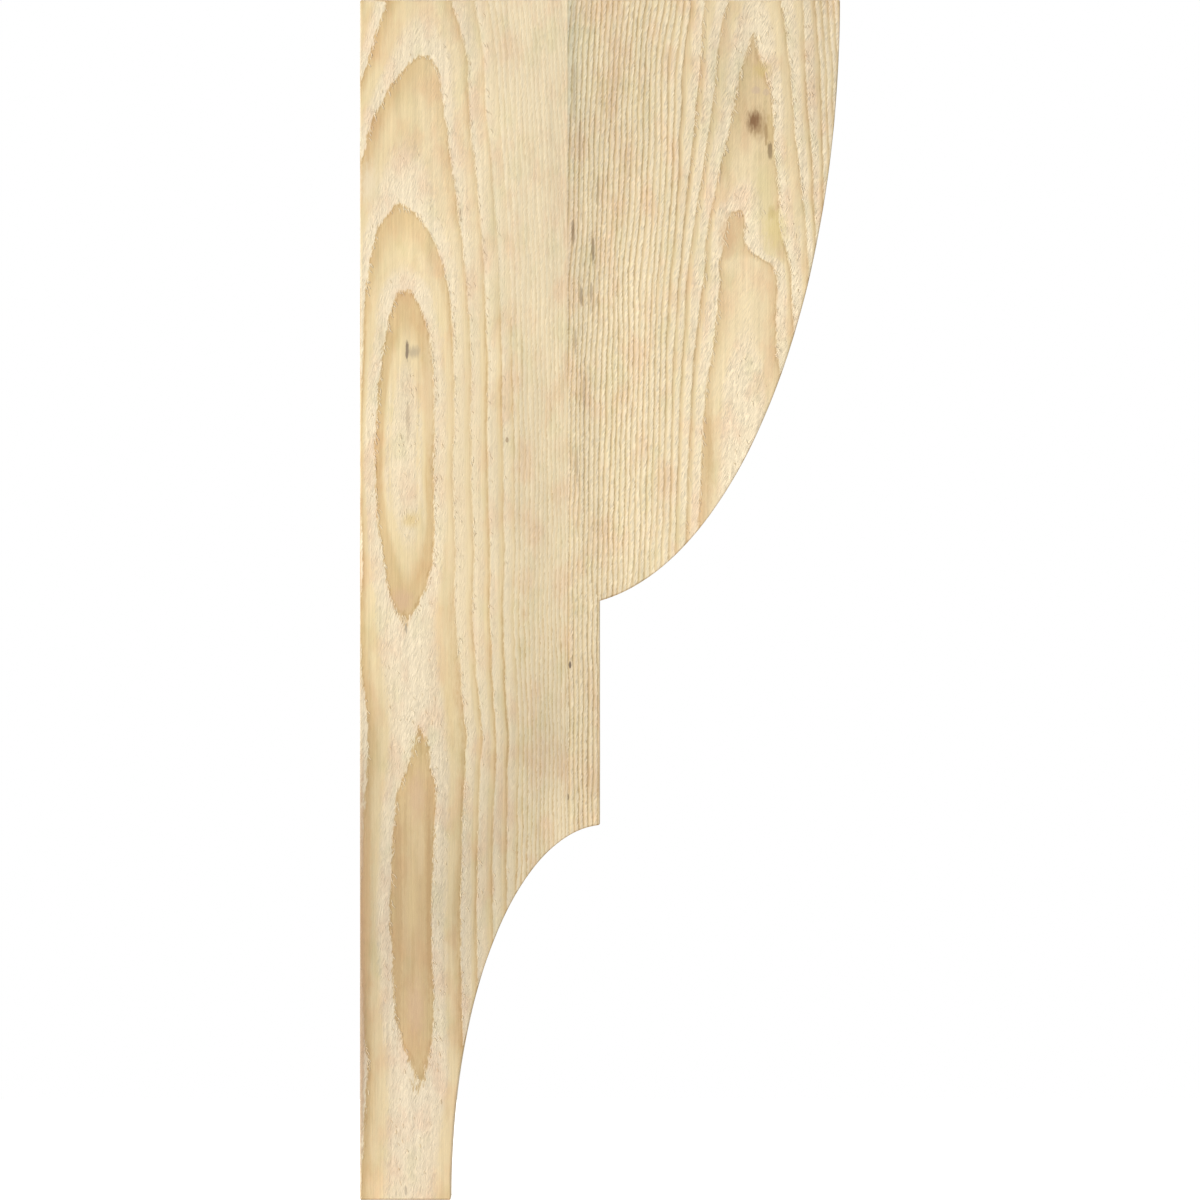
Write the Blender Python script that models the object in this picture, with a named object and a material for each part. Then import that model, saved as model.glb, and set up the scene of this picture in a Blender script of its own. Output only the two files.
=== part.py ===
"""A wooden corbel bracket, band-sawn from a blank of two planks glued edge to edge.

The back face is fixed flat against a wall, and the top face carries a beam, shelf or
eave. Metres, +Z up. The origin is the centre of the back face: +X points out from the
wall, and Y runs across the thickness of the timber.
"""

import math

import bmesh
import bpy
from mathutils import Vector

# Overall sizes
height = 0.762  # up the wall, top face to foot
projection = 0.3048  # along the top, wall to nose
thickness = 0.0889  # across the timber, side face to side face

# Side profile, measured out from the wall and down from the top face
waist_out = 0.1524  # the straight upright face between the two curves
lobe_down = 0.3815  # where the rounded lobe comes back to the waist
cove_down = 0.5239  # where the hollow cove starts, at the foot of the waist
foot_out = 0.0576  # the depth left at the foot, where the cove runs out
lobe_axis_back = 0.0219  # the lobe's ellipse is centred this far behind the waist
cove_axis_ahead = 0.0037  # the cove's ellipse is centred this far in front of the waist
lobe_steps = 56
cove_steps = 44

# The two planks of the blank
joint_out = 0.1318  # wall to the glued joint
joint_gap = 0.0003
sawing_allowance = 0.01  # what the planks stand proud of the profile before it is sawn

# Arrises, eased with a few strokes of a plane
arris = 0.0010
arris_steps = 2
convex_corner = math.radians(30)

back_wood = (0.790, 0.632, 0.400, 1.0)
front_wood = (0.770, 0.618, 0.388, 1.0)

top = height / 2
foot = -height / 2


def clear_scene():
    for obj in list(bpy.data.objects):
        bpy.data.objects.remove(obj)


def ellipse_arc(centre, across, down, start, end, steps):
    """Points at even steps of angle, from `start` to `end`, where an angle of 0 is level
    with the centre and a quarter turn is straight below it (or above, if down < 0)."""
    angles = [start + (end - start) * i / steps for i in range(steps + 1)]
    return [(centre[0] + across * math.cos(a), centre[1] - down * math.sin(a)) for a in angles]


def lobe():
    """The convex curve, from the nose at the top face down and back to the waist."""
    centre_out = waist_out - lobe_axis_back
    across = projection - centre_out
    end = math.acos(lobe_axis_back / across)
    down = lobe_down / math.sin(end)
    return ellipse_arc((centre_out, top), across, down, 0.0, end, lobe_steps)


def cove():
    """The hollow curve, from the foot of the waist in towards the wall and down to the foot."""
    centre_out = waist_out + cove_axis_ahead
    across = foot_out - centre_out
    start = math.acos(-cove_axis_ahead / across)
    rise = (height - cove_down) / math.sin(start)
    return ellipse_arc((centre_out, foot), across, -rise, start, 0.0, cove_steps)


def side_profile():
    """The outline of a side face, as (out, up) points, clockwise from the top of the wall."""
    return [(0.0, top), *lobe(), *cove(), (0.0, foot)]


def is_arris(edge):
    """True where two faces meet at an outside corner, and not in the hollow under the lobe."""
    return edge.is_convex and edge.calc_face_angle() > convex_corner


def sawn_profile():
    """The whole bracket in one solid, with eased arrises, as it would be from one plank."""
    shape = bmesh.new()
    near_side = [shape.verts.new((x, -thickness / 2, z)) for x, z in side_profile()]
    face = shape.faces.new(near_side)
    pulled = bmesh.ops.extrude_face_region(shape, geom=[face])["geom"]
    far_side = [v for v in pulled if isinstance(v, bmesh.types.BMVert)]
    bmesh.ops.translate(shape, verts=far_side, vec=(0.0, thickness, 0.0))
    bmesh.ops.recalc_face_normals(shape, faces=shape.faces)
    bmesh.ops.bevel(
        shape,
        geom=[e for e in shape.edges if is_arris(e)],
        offset=arris,
        segments=arris_steps,
        profile=0.5,
        affect="EDGES",
        clamp_overlap=True,
    )
    mesh = bpy.data.meshes.new("sawn_profile")
    shape.to_mesh(mesh)
    shape.free()
    mesh.shade_smooth()
    mesh.set_sharp_from_angle(angle=convex_corner)
    guide = bpy.data.objects.new("sawn_profile", mesh)
    guide.hide_render = True
    guide.display_type = "WIRE"
    return guide


def wood(name, colour):
    material = bpy.data.materials.new(name)
    material.use_nodes = True
    shader = material.node_tree.nodes["Principled BSDF"]
    shader.inputs["Base Color"].default_value = colour
    shader.inputs["Roughness"].default_value = 0.85
    shader.inputs["Metallic"].default_value = 0.0
    material.diffuse_color = colour
    return material


def board(name, out_from, out_to, profile, material):
    """A plank between two distances from the wall, kept only where it is inside the profile."""
    half = thickness / 2 + sawing_allowance
    low = Vector((out_from, -half, foot - sawing_allowance))
    high = Vector((out_to, half, top + sawing_allowance))
    plank = bmesh.new()
    corners = bmesh.ops.create_cube(plank, size=1.0)["verts"]
    for corner in corners:
        corner.co = Vector(b if c > 0 else a for a, b, c in zip(low, high, corner.co))
    mesh = bpy.data.meshes.new(name)
    plank.to_mesh(mesh)
    plank.free()
    mesh.materials.append(material)
    obj = bpy.data.objects.new(name, mesh)
    saw = obj.modifiers.new("saw to profile", "BOOLEAN")
    saw.operation = "INTERSECT"
    saw.solver = "EXACT"
    saw.object = profile
    return obj


def main():
    clear_scene()
    collection = bpy.context.scene.collection
    bracket = bpy.data.objects.new("corbel_bracket", None)
    profile = sawn_profile()
    back = board(
        "back_board",
        -sawing_allowance,
        joint_out - joint_gap / 2,
        profile,
        wood("back board wood", back_wood),
    )
    front = board(
        "front_board",
        joint_out + joint_gap / 2,
        projection + sawing_allowance,
        profile,
        wood("front board wood", front_wood),
    )
    collection.objects.link(bracket)
    for obj in (profile, back, front):
        collection.objects.link(obj)
        obj.parent = bracket


main()
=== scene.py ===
# Wooden corbel bracket: two rough-sawn planks glued edge to edge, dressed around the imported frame.
# Metres. X runs out from the wall, Y across the timber, Z up; "down" is measured from the top face.
import itertools
import math

import bpy
import numpy as np
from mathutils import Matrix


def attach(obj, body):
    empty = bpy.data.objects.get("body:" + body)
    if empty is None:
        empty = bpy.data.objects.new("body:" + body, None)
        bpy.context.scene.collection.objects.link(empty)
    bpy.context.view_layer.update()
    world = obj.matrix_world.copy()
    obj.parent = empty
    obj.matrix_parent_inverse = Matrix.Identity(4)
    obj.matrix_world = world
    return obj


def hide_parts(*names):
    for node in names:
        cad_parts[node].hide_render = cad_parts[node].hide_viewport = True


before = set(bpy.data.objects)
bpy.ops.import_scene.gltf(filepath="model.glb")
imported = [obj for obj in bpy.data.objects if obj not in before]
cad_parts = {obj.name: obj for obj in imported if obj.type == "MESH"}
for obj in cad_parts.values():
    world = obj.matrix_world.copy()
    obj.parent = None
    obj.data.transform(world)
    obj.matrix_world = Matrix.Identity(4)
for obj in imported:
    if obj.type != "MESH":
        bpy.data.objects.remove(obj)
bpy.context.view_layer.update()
mm = 0.001
px = 0.000635  # one pixel of the photograph at real size
wallColumn = 360  # the photograph's column where the wall's face lies

bracket = dict(
    height=0.762,
    projection=0.3048,
    thickness=0.0889,
    waistOut=0.1524,
    lobeDown=0.3815,
    coveDown=0.5239,
    footOut=0.0576,
    lobeAxisBack=0.0219,
    coveAxisAhead=0.0037,
    jointOut=0.1318,
    glueLine=0.00004,  # the two skins stop this far apart
    arris=0.0010,
    arrisWear=0.45,  # how much the arris varies along its length
)
bracket["top"] = bracket["height"] / 2

backBoard = dict(
    rows=(196, 84),  # beside the joint, then beside the cove
    columns=112,
    depths=30,
    pith=236 * px,  # how far in from the near face the heart of the tree lies
    ringWidth=4.66 * px,
    fineBeyond=13 * px,  # further out than this from the last marked ring, the rings get finer
    fineShare=1.15,  # how many more of them there are
    firstEdge=0,
    axisMiddle=(411 - wallColumn) * px,
    axisReach=70 * px,
    axisDown=(-20, 57, 120, 208, 340, 470, 560, 617, 680, 739, 800, 910, 1000, 1078, 1140, 1220),
    axisShift=(10, 14, -2, -11, -3, -8, -2, -6, 1, 11, 5, -1, 3, 10, 1, -4),
    tipDown=(0, 1200),
    tipShift=(0, 0),
    tipReach=24 * px,
    tones=(  # across, down, half sizes, change: wide patches that are darker or lighter in the photograph
        (490, 860, 62, 190, -0.17), (540, 690, 50, 130, -0.14), (364, 930, 9, 190, -0.18),
        (530, 500, 60, 110, -0.09), (450, 700, 13, 90, -0.06), (471, 390, 7, 80, -0.05),
        (560, 150, 18, 190, -0.06), (464, 25, 16, 40, -0.10), (375, 755, 18, 60, -0.09),
        (556, 750, 17, 45, -0.09), (372, 1190, 24, 45, 0.08), (407, 600, 18, 90, -0.04),
        (497, 850, 16, 50, -0.03), (420, 920, 62, 140, -0.11), (380, 900, 16, 150, -0.09),
        (450, 950, 12, 110, -0.05), (530, 300, 50, 160, -0.05), (530, 70, 40, 60, -0.04),
        (365, 930, 7, 170, -0.08), (405, 240, 30, 30, 0.04),
    ),
    coreStep=0.35,  # how much paler, in rings, the middle of the wide island is
    highIsland=dict(tip=291, tail=617, reach=28.5, roundness=2.4, above=40, below=5),
    lowIslandDown=(739, 746, 762, 776, 792, 840, 960, 1012, 1044, 1062, 1078),
    lowIslandHalf=(0, 5, 8.5, 14, 18.5, 20, 19.5, 19, 13, 8, 0),
    lowIslandBuried=(5, 4),  # how fast it sinks into the wood above its top and below its foot
    innerArch=dict(apex=207, opens=62, reach=46, buried=17),
    outerArch=dict(apex=56, opens=150, reach=64, buried=22),
    widenAt=(625, 8),  # where both arches widen again under the high island, and over what height
    widenBy=(16, 15),
    farTaper=26 * mm,
    fibres=1500,  # torn fibres that stand up from both side faces
    seed=11,
)
frontBoard = dict(
    rows=(176, 52),  # under the lobe, then beside the waist
    columns=148,
    depths=30,
    pith=79 * px,
    ringWidth=4.4 * px,
    fineBeyond=0,
    fineShare=0,
    firstEdge=-2,
    axisMiddle=(748 - wallColumn) * px,
    axisReach=110 * px,
    axisDown=(-20, 40, 92, 150, 230, 280, 350, 620),
    axisShift=(8, 6, 5, 5, 3, 0, -4, -6),
    tipDown=(60, 100, 150, 206, 214, 240, 257, 266, 277),  # the inner island's top leans towards the wall
    tipShift=(0, 2, -4, -8, -15, -18, -14, -4, 0),
    tipReach=36 * px,
    ringDown=(-20, 20, 40, 60, 100, 140, 180, 230, 280, 330, 400, 480, 620),
    ringHalf=(  # half widths of the four rings outside the island, at those places down
        (-24, -12, 0, 9.5, 17.5, 22, 29.5, 39, 42, 47, 53, 55, 58),
        (22, 30, 33, 36, 38.5, 43.5, 48, 55, 60, 61, 64, 67, 70),
        (46, 50, 51, 51.5, 55, 57.5, 61.5, 64.5, 68.5, 70, 73, 75, 78),
        (60, 64.5, 67, 69, 70, 71, 72, 75, 79, 79, 81, 83, 86),
    ),
    islandDown=(211, 216, 238, 255, 263, 292, 322, 353, 384, 440, 528, 640),
    islandHalf=(0, 8.5, 10, 15, 26, 28, 28, 31, 37, 40, 44, 50),
    islandTop=212,
    islandBuried=18,
    heartDepth=(600, 160),  # how deep the next ring inwards lies: the island's heart is paler lower down
    heartRises=(310, 390),
    tones=(
        (590, 710, 40, 160, -0.16), (620, 90, 70, 110, -0.08), (820, 60, 30, 120, -0.12),
        (725, 60, 30, 60, -0.06), (582, 240, 22, 100, -0.08), (586, 430, 17, 130, -0.11),
        (735, 90, 22, 100, -0.07), (617, 100, 20, 130, -0.03),
    ),
    coreStep=0.0,
    farTaper=14 * mm,
    fibres=1100,
    seed=23,
)
fibre = dict(
    tries=90000,  # random spots on the side faces, kept where a ring ends
    beyondEdge=1.1,  # mm outside a ring's edge that fibres start in
    length=(2.2 * mm, 5.5 * mm),
    width=(0.35 * mm, 0.75 * mm),
    thick=0.2 * mm,
    lift=(0.05 * mm, 0.24 * mm),  # how far the middle of a fibre stands off the face
    root=0.25 * mm,  # how deep its ends are buried
    lean=(0.1, 0.75),  # radians from upright, the top towards the wall
    bow=(-0.5, 0.7),
    margin=3.5 * mm,  # clear of the outline
    softPart=0.4,  # they start in this first share of a ring
    strayChance=0.035,  # how likely one is further from the ring's edge
    tightRate=(0.09, 0.16),  # rings per mm over which they die out
    stations=6,  # points along a fibre, its two tips included
)
figure = dict(
    archPower=1.15,  # above 1 it blunts the top of an arch
    wanderSize=(0.05, 0.05, 0.16),  # a slow drift of the rings that grows with depth
    wander=0.012,
    ringWander=0.004,
    swaySize=(0.022, 0.03, 0.06),  # bends over a hand's width
    sway=0.0010,
    waverSize=(0.006, 0.01, 0.02),  # and over a finger's width
    waver=0.0005,
    coreEdge=(0.55 * px, 1.5 * px),  # how far inside an island its paler middle starts
    rateStep=0.25,  # mm between the spots that the ring rate is read from
)
surface = dict(  # relief in mm, sizes in metres
    swell=0.07,  # slow unevenness left by the saw
    swellSize=0.03,
    ripple=0.04,
    rippleSize=0.011,
    ridge=0.06,  # the hard part of each ring stands up
    ridgePart=0.35,  # where in a ring it is highest
    ridgeFull=1.2,  # ridges fade where the rings are tight
    ridgeFade=1.6,
    tear=0.07,  # torn grain in the soft part
    tearSize=(0.0022, 0.0022, 0.006),
    sink=0.03,  # keeps it all about the outline
    wearSize=0.035,  # changes along the arrises
    fineWear=0.6,
    fineWearSize=0.009,
    sharpFrom=40,  # degrees
)


def softNoise(points, size, seed):
    # random numbers on a wrapped cubic lattice, eased between its corners, from -1 to 1
    wrap, offset = 32, 512.37
    table = np.random.default_rng(seed).uniform(-1, 1, (wrap, wrap, wrap))
    place = points / np.asarray(size) + offset
    corner = np.floor(place).astype(int)
    share = place - corner
    share = share * share * (3 - 2 * share)
    total = np.zeros(len(points))
    for step in itertools.product((0, 1), repeat=3):
        at = (corner + step) % wrap
        weight = np.prod(np.where(step, share, 1 - share), axis=1)
        total += weight * table[at[:, 0], at[:, 1], at[:, 2]]
    return total


def ease(low, high, value):
    # 0 below low, 1 above high, and a smooth S between them
    t = np.clip((value - low) / (high - low), 0, 1)
    return t * t * (3 - 2 * t)


# outline of the side face, as out and down


def lobeLine(steps=1500):
    # a quarter ellipse centred behind the waist at the top face, from the nose back to the waist
    centre = bracket["waistOut"] - bracket["lobeAxisBack"]
    across = bracket["projection"] - centre
    end = math.acos(bracket["lobeAxisBack"] / across)
    angle = np.linspace(0, end, steps)
    return np.stack([centre + across * np.cos(angle), bracket["lobeDown"] * np.sin(angle) / math.sin(end)], 1)


def coveLine(steps=1500):
    # a hollow quarter ellipse centred ahead of the waist at the foot, from the waist in to the foot
    centre = bracket["waistOut"] + bracket["coveAxisAhead"]
    across = centre - bracket["footOut"]
    start = math.acos(bracket["coveAxisAhead"] / across)
    rise = (bracket["height"] - bracket["coveDown"]) / math.sin(start)
    angle = np.linspace(start, 0, steps)
    return np.stack([centre - across * np.cos(angle), bracket["height"] - rise * np.sin(angle)], 1)


def splitAt(line, out):
    # the part of a line further out than a distance, and the part nearer, both with the crossing point
    down = np.interp(out, line[::-1, 0], line[::-1, 1])
    cross = np.array([[out, down]])
    return np.vstack([line[line[:, 0] > out], cross]), np.vstack([cross, line[line[:, 0] < out]])


def lengths(line):
    # the running length of a line at each of its points, from 0
    return np.concatenate([[0], np.cumsum(np.hypot(*np.diff(line, axis=0).T))])


def pointsAlong(line, share):
    # points of a line at shares of its length
    reach = lengths(line)
    return np.stack([np.interp(share * reach[-1], reach, line[:, k]) for k in (0, 1)], 1)


fineSteps = np.array([0, 0.3, 0.6, 1.0, 1.6]) * mm  # places close to an arris
mostFine = 0.12  # the share of a short width that they may take
farAway = 9.0  # metres, before any line is measured


def finerAtEnds(width, count):
    # shares from 0 to 1 across each width: fine steps beside both ends, even ones between
    near = np.minimum(fineSteps[None, :] / width[:, None], mostFine * fineSteps[None, :] / fineSteps[-1])
    middle = np.linspace(0, 1, count - 2 * len(fineSteps) + 2)[None, 1:-1]
    first = near[:, -1:]
    return np.hstack([near, first + (1 - 2 * first) * middle, 1 - near[:, ::-1]])


def nearestOn(points, line):
    # distance from each point to a line, and the direction from the line to the point, in batches of points
    start, step = line[:-1], np.diff(line, axis=0)
    best = np.full(len(points), farAway)
    way = np.zeros((len(points), 2))
    batches = 24
    for part in np.array_split(np.arange(len(points)), batches):
        gap = points[part, None, :] - start[None]
        share = np.clip((gap * step).sum(2) / (step**2).sum(1), 0, 1)
        gap = gap - share[..., None] * step
        size = np.hypot(gap[..., 0], gap[..., 1])
        pick = size.argmin(1)
        row = np.arange(len(part))
        best[part] = size[row, pick]
        along = step[pick] / np.hypot(*step[pick].T)[:, None]
        inward = np.stack([-along[:, 1], along[:, 0]], 1)
        off = size[row, pick][:, None]
        way[part] = np.where(off > 1e-6, gap[row, pick] / np.maximum(off, 1e-9), inward)
    return best, way


def blockSkin(rows, columns, depths):
    # the six sides of a block of lattice points, as four-sided faces that face outwards
    lattice = np.arange(rows * columns * depths).reshape(rows, columns, depths)
    quads = []
    for side, flip in (
        (lattice[:, :, 0], False),
        (lattice[:, :, -1], True),
        (lattice[:, -1, :], False),
        (lattice[:, 0, :], True),
        (lattice[0], False),
        (lattice[-1], True),
    ):
        faces = np.stack([side[:-1, :-1], side[1:, :-1], side[1:, 1:], side[:-1, 1:]], -1).reshape(-1, 4)
        quads.append(faces[:, ::-1] if flip else faces)
    used, faces = np.unique(np.vstack(quads), return_inverse=True)
    return np.unravel_index(used, lattice.shape), faces.reshape(-1, 4)


def newPiece(name, data):
    # puts a named object into the scene: a mesh, a lamp or a camera
    piece = bpy.data.objects.new(name, data)
    bpy.context.scene.collection.objects.link(piece)
    return piece


# growth rings


def easedLine(at, knots, values, blur=9 * px):
    # straight lines between the knots, blurred so that no knot shows; a table with one value a pixel row
    table = np.arange(-60, 1260) * px
    straight = np.interp(table, np.array(knots) * px, np.array(values) * px)
    side = 30
    reach = np.arange(-side, side + 1) * px
    weight = np.exp(-((reach / blur) ** 2))
    padded = np.pad(straight, side, mode="edge")
    return np.interp(at, table, np.convolve(padded, weight / weight.sum(), mode="valid"))


def archEdge(down, apex, opens, reach, buried):
    # squared half width of a ring that closes in an arch: nothing at the apex, growing to its reach below it
    below = np.clip((down - apex * px) / (opens * px), 0, None)
    sunk = buried * px * np.clip(apex * px - down, 0, None)
    return (reach * px) ** 2 * (1 - np.exp(-(below ** figure["archPower"]))) - sunk


def islandEdge(down, tip, tail, reach, roundness, above, below):
    # squared half width of a ring that closes at both ends, as a flattened ellipse between its tips
    along = np.abs(2 * down - (tip + tail) * px) / ((tail - tip) * px)
    inside = (reach * px) ** 2 * (1 - np.clip(along, 0, 1) ** roundness)
    return inside - px * sunkBeyond(down, tip, tail, above, below)


def sunkBeyond(down, tip, tail, above, below):
    # how far past its two tips an island is, times how fast it sinks there
    return above * np.clip(tip * px - down, 0, None) + below * np.clip(down - tail * px, 0, None)


def backEdges(down):
    # squared half widths: the two islands as one ring, then the two arches round them
    board = backBoard
    knots = board["lowIslandDown"]
    halfWidth = easedLine(down, knots, board["lowIslandHalf"], blur=3 * px)
    lowIsland = halfWidth**2 - px * sunkBeyond(down, knots[0], knots[-1], *board["lowIslandBuried"])
    islands = np.maximum(islandEdge(down, **board["highIsland"]), lowIsland)
    middle, over = board["widenAt"]
    low = 1 / (1 + np.exp(-(down - middle * px) / (over * px)))
    inner = archEdge(down, **board["innerArch"]) + low * (board["widenBy"][0] * px) ** 2
    return [islands, inner, archEdge(down, **board["outerArch"]) + low * (board["widenBy"][1] * px) ** 2]


def frontEdges(down):
    # squared half widths: the ring under the island, the island, then the four rings round it
    board = frontBoard
    halfWidth = easedLine(down, board["islandDown"], board["islandHalf"], blur=3 * px)
    island = halfWidth**2 - board["islandBuried"] * px * np.clip(board["islandTop"] * px - down, 0, None)
    rings = [easedLine(down, board["ringDown"], half, blur=12 * px) for half in board["ringHalf"]]
    high, low = board["heartDepth"]
    riseFrom, riseTo = board["heartRises"]
    heart = -(high - (high - low) * ease(riseFrom * px, riseTo * px, down)) * px**2
    return [heart, island, *[np.abs(half) * half for half in rings]]


backBoard["edges"] = backEdges
frontBoard["edges"] = frontEdges


def ringAge(board, points):
    # rings counted outwards from the heart: the radius from the pith line, read off between the ring edges
    top, near = bracket["top"], -bracket["thickness"] / 2
    down, depth = top - points[:, 2], points[:, 1] - near
    deep = np.clip(depth / bracket["thickness"], 0, 1)
    middle = board["axisMiddle"]
    shift = easedLine(down, board["axisDown"], board["axisShift"])
    fade = np.exp(-(((points[:, 0] - middle - shift) / board["axisReach"]) ** 2))
    wander = softNoise(points, figure["wanderSize"], board["seed"])
    across = points[:, 0] - middle - shift * fade - deep * figure["wander"] * wander
    tip = easedLine(down, board["tipDown"], board["tipShift"])
    across = across - tip * np.exp(-((across / board["tipReach"]) ** 4))
    sway = figure["sway"] * softNoise(points, figure["swaySize"], board["seed"] + 1)
    sway = sway + figure["waver"] * softNoise(points, figure["waverSize"], board["seed"] + 7)
    radius = np.hypot(across + sway, board["pith"] - depth)
    taper = board["farTaper"] * (down / bracket["height"] - 0.5)
    radius = radius + deep * (taper + figure["ringWander"] * wander)
    edges = [np.sqrt(np.maximum(board["pith"] ** 2 + e, 1e-8)) for e in board["edges"](down)]
    within = np.maximum(edges[0] - radius, 0)
    core = board["coreStep"] * ease(*figure["coreEdge"], within)
    age = board["firstEdge"] - within / board["ringWidth"] - core
    outside = np.maximum(radius - edges[-1], 0)
    fine = board["fineShare"] * np.maximum(outside - board["fineBeyond"], 0)
    age = age + (outside + fine) / board["ringWidth"]
    for inner, outer in zip(edges, edges[1:]):
        age = age + np.clip((radius - inner) / np.maximum(outer - inner, 1e-6), 0, 1)
    return age


def ringRate(board, points, outward):
    # rings crossed per millimetre over the surface: the age's gradient, less its part through the surface
    here = ringAge(board, points)
    step = figure["rateStep"]
    slope = np.stack([(ringAge(board, points + step * mm * axis) - here) / step for axis in np.eye(3)], 1)
    slope = slope - (slope * outward).sum(1)[:, None] * outward
    return here, np.sqrt((slope**2).sum(1))


# the two boards


def makeBoard(name, board, insideLine, outsideLine, footLine, sideLines, endLines):
    # rows of straight lines ruled from the inside line to the outside line, carried across the thickness
    top, near, thickness = bracket["top"], -bracket["thickness"] / 2, bracket["thickness"]
    rows, columns, depths = len(insideLine), board["columns"], board["depths"]
    ruling = outsideLine - insideLine
    share = finerAtEnds(np.hypot(*ruling.T), columns)
    plan = insideLine[:, None, :] + share[..., None] * ruling[:, None, :]
    if footLine is not None:  # the last rows bend to the hollow of the cove
        order = footLine[::-1]
        bend = np.interp(plan[-1, :, 0], order[:, 0], order[:, 1]) - plan[-1, :, 1]
        lean = np.zeros(rows)
        lean[-board["rows"][1]:] = np.linspace(0, 1, board["rows"][1])
        plan[..., 1] += lean[:, None] * bend[None, :]
    through = finerAtEnds(np.array([thickness]), depths)[0] * thickness
    (i, j, k), faces = blockSkin(rows, columns, depths)

    flat = plan.reshape(-1, 2)
    sideGap, sideWay = np.full(len(flat), farAway), np.zeros((len(flat), 2))
    endGap, endWay = sideGap.copy(), sideWay.copy()
    for lines, gap, way in ((sideLines, sideGap, sideWay), (endLines, endGap, endWay)):
        for line in lines:
            size, towards = nearestOn(flat, line)
            closer = size < gap
            gap[closer], way[closer] = size[closer], towards[closer]
    at = i * columns + j
    out, down, depth = flat[at, 0], flat[at, 1], through[k]
    faceGap = np.minimum(depth, thickness - depth)
    faceWay = np.where(depth < thickness / 2, 1.0, -1.0)

    # the arris: a point closer than the radius to two or three faces goes onto a round between them
    spot = np.stack([out, depth, -down], 1)
    wear = softNoise(spot, surface["wearSize"], 5)
    wear = wear + surface["fineWear"] * softNoise(spot, surface["fineWearSize"], 6)
    radius = bracket["arris"] * (1 + bracket["arrisWear"] * np.clip(wear, -1, 1))
    gaps = np.stack([faceGap, sideGap[at], endGap[at]], 1)
    centre = np.maximum(gaps, radius[:, None])
    reach = gaps - centre
    size = np.sqrt((reach**2).sum(1))
    moved = centre + reach * np.minimum(1, radius / np.maximum(size, 1e-9))[:, None] - gaps
    ways = np.stack([
        np.stack([np.zeros(len(at)), faceWay, np.zeros(len(at))], 1),
        np.stack([sideWay[at, 0], np.zeros(len(at)), -sideWay[at, 1]], 1),
        np.stack([endWay[at, 0], np.zeros(len(at)), -endWay[at, 1]], 1),
    ], 1)
    points = np.stack([out, near + depth, top - down], 1) + (moved[..., None] * ways).sum(1)
    outward = ((reach / np.maximum(size, 1e-9)[:, None])[..., None] * ways).sum(1)
    outward[size < radius * 0.999] = 0

    # where each finish goes, told in the photograph's pixels
    age, rate = ringRate(board, points, outward)
    fromWall, below = points[:, 0] / px + wallColumn, (top - points[:, 2]) / px
    wool, rib, contrast, stain = board["regions"](fromWall, below)
    tone = np.ones(len(points))
    for middle, low, halfAcross, halfDown, change in board["tones"]:
        tone += change * np.exp(-(((fromWall - middle) / halfAcross) ** 2) - ((below - low) / halfDown) ** 2)
    sawn = 1 - outward[:, 1] ** 2
    run = lengths(outsideLine)[i]  # how far along the edge a saw line falls
    onEnd = (i == 0) | (i == rows - 1)
    run = np.where(onEnd, out + 1.7, run)  # the ends have saw lines of their own

    # relief: slow unevenness everywhere, ridges on the rings, torn fibres on the side faces
    relief = surface["swell"] * softNoise(points, surface["swellSize"], board["seed"] + 2)
    relief = relief + surface["ripple"] * softNoise(points, surface["rippleSize"], board["seed"] + 3)
    ridge = np.cos(2 * math.pi * (age - surface["ridgePart"]))
    ridge = ridge * np.clip(surface["ridgeFull"] - rate * surface["ridgeFade"], 0, 1)
    torn = softNoise(points, surface["tearSize"], board["seed"] + 4)
    rough = surface["ridge"] * rib * ridge + surface["tear"] * wool * torn
    relief = relief + (1 - sawn) * rough - surface["sink"]
    points = points + outward * (relief * mm)[:, None]

    mesh = bpy.data.meshes.new(name)
    mesh.from_pydata(points.tolist(), [], faces.tolist())
    mesh.shade_smooth()
    mesh.set_sharp_from_angle(angle=math.radians(surface["sharpFrom"]))
    values = dict(ringAge=age, ringRate=np.clip(rate, 0.02, 3), endGrain=np.abs(outward[:, 2]), sawn=sawn,
                  sawRun=run, wool=wool, rib=rib, contrast=contrast, stain=stain, tone=tone)
    for label, value in values.items():
        mesh.attributes.new(label, "FLOAT", "POINT").data.foreach_set("value", value.astype(np.float32))
    print(name, "skin:", len(points), "points,", 2 * len(faces), "triangles")
    return newPiece(name, mesh)


def backRegions(across, down):
    # woolly and strongly marked near the wall, smooth and faint beside the joint
    wool = 1 - 0.42 * ease(448, 500, across)
    clear = ease(270, 420, down) * (ease(448, 480, across) - 0.7 * ease(508, 528, across))
    contrast = 1 - 0.62 * ease(440, 510, across) + 0.5 * clear
    contrast = contrast * (1 - 0.45 * (1 - ease(250, 330, down)) * ease(400, 440, across))
    contrast = contrast * (1 - 0.35 * ease(500, 515, across) * (1 - ease(560, 660, down)))
    return wool, 0.15 * ease(440, 470, across), contrast, np.zeros(len(across))


def frontRegions(across, down):
    # ridged like corduroy beside the joint, woolly towards the nose, weathered grey at the joint's top
    rib = 1 - 0.75 * ease(680, 712, across)
    stain = np.exp(-(((across - 566) / 19) ** 2))
    stain = stain * (1 - 0.75 * ease(60, 230, down) - 0.25 * ease(250, 420, down))
    return 0.85 + 0.15 * ease(680, 712, across), rib, 1 - 0.15 * ease(690, 720, across), stain


backBoard["regions"] = backRegions
frontBoard["regions"] = frontRegions

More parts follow.
